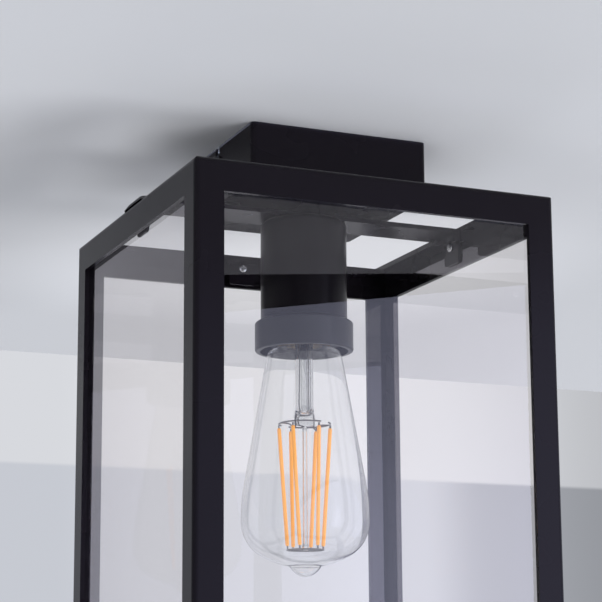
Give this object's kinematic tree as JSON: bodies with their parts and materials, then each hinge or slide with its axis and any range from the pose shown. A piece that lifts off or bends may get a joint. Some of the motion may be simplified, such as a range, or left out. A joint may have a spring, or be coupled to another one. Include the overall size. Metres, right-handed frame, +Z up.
{
  "type": "porch ceiling lantern",
  "caption": "Square black steel porch ceiling lantern with clear glass sides and an open base, hung under a box-shaped ceiling cover, with a screw-in filament-style lamp pointing down.",
  "frame": {"origin": "middle of the ceiling plane between the bracket's two ceiling slots, on the lamp's axis", "axes": "+Z up into the ceiling along the lamp's axis; +X along the ceiling bracket and the cross strap, to the right of the front; +Y away from the front"},
  "size_m": [0.185, 0.185, 0.2987],
  "materials": {
    "black_powder_coat": "satin black powder coat",
    "black_sleeve": "semi-gloss black",
    "black_moulding": "satin moulded black",
    "zinc_plate": "bright zinc plate",
    "black_zinc": "black zinc plate",
    "brass_contacts": "plain brass",
    "brass_cap": "bright rolled brass",
    "solder": "dull solder",
    "black_glass": "fused black insulator",
    "white_moulding": "satin off-white moulding",
    "pane_glass": "clear polished sheet glass",
    "lamp_glass": "clear blown glass",
    "dark_wire": "dull drawn wire",
    "amber_strip": "amber coated strip"
  },
  "bodies": {
    "bracket": {"ceiling_bracket": "zinc_plate"},
    "side_screw_left": {"side_screw_left": "black_zinc"},
    "side_screw_right": {"side_screw_right": "black_zinc"},
    "lantern": {"ceiling_cover": "black_powder_coat", "terminal_block": "white_moulding", "terminal_screws": "brass_contacts", "block_fixing_screw": "zinc_plate", "earth_screw": "brass_contacts", "threaded_tube": "zinc_plate", "tube_washer": "zinc_plate", "tube_nut": "zinc_plate", "collar": "black_powder_coat", "cross_strap": "black_powder_coat", "post_front_left": "black_powder_coat", "post_front_right": "black_powder_coat", "post_back_right": "black_powder_coat", "post_back_left": "black_powder_coat", "top_rail_front": "black_powder_coat", "top_rail_right": "black_powder_coat", "top_rail_back": "black_powder_coat", "top_rail_left": "black_powder_coat", "bottom_rail_front": "black_powder_coat", "bottom_rail_right": "black_powder_coat", "bottom_rail_back": "black_powder_coat", "bottom_rail_left": "black_powder_coat", "pane_front": "pane_glass", "pane_right": "pane_glass", "pane_back": "pane_glass", "pane_left": "pane_glass", "upper_clip_front": "black_powder_coat", "upper_clip_right": "black_powder_coat", "upper_clip_back": "black_powder_coat", "upper_clip_left": "black_powder_coat", "lower_clip_front": "black_powder_coat", "lower_clip_right": "black_powder_coat", "lower_clip_back": "black_powder_coat", "lower_clip_left": "black_powder_coat", "upper_clip_screws": "zinc_plate", "lower_clip_screws": "zinc_plate", "lampholder_sleeve": "black_sleeve", "lampholder_body": "black_moulding", "socket_shell": "brass_contacts", "centre_contact": "brass_contacts", "shade_ring": "black_moulding"},
    "lamp_foot": {"lamp_contact": "solder", "lamp_insulator": "black_glass"},
    "lamp": {"lamp_cap": "brass_cap", "lamp_glass": "lamp_glass", "lamp_stem": "lamp_glass", "lamp_support_wires": "dark_wire", "lamp_strip_ring": "dark_wire", "lamp_strip_1": "amber_strip", "lamp_strip_2": "amber_strip", "lamp_strip_3": "amber_strip", "lamp_strip_4": "amber_strip", "lamp_strip_5": "amber_strip", "lamp_strip_6": "amber_strip"}
  },
  "joints": [
    {"name": "lantern_drop", "type": "slide", "parent": "bracket", "child": "lantern", "axis": [0, 0, -1], "range_m": [0, 0.08]},
    {"name": "screw_left_out", "type": "slide", "parent": "bracket", "child": "side_screw_left", "axis": [-1, 0, 0], "range_m": [0, 0.004]},
    {"name": "screw_right_out", "type": "slide", "parent": "bracket", "child": "side_screw_right", "axis": [1, 0, 0], "range_m": [0, 0.004]},
    {"name": "lamp_draw", "type": "slide", "parent": "lantern", "child": "lamp_foot", "axis": [0, 0, -1], "range_m": [0, 0.01634]},
    {"name": "lamp_turn", "type": "hinge", "parent": "lamp_foot", "child": "lamp", "pos_m": [0, 0, -0.0725], "axis": [0, 0, -1], "range_deg": [0, 1620]}
  ],
  "couplings": [
    {"joint": "lamp_draw", "follows": "lamp_turn", "m_per_rad": 0.00057757}
  ]
}
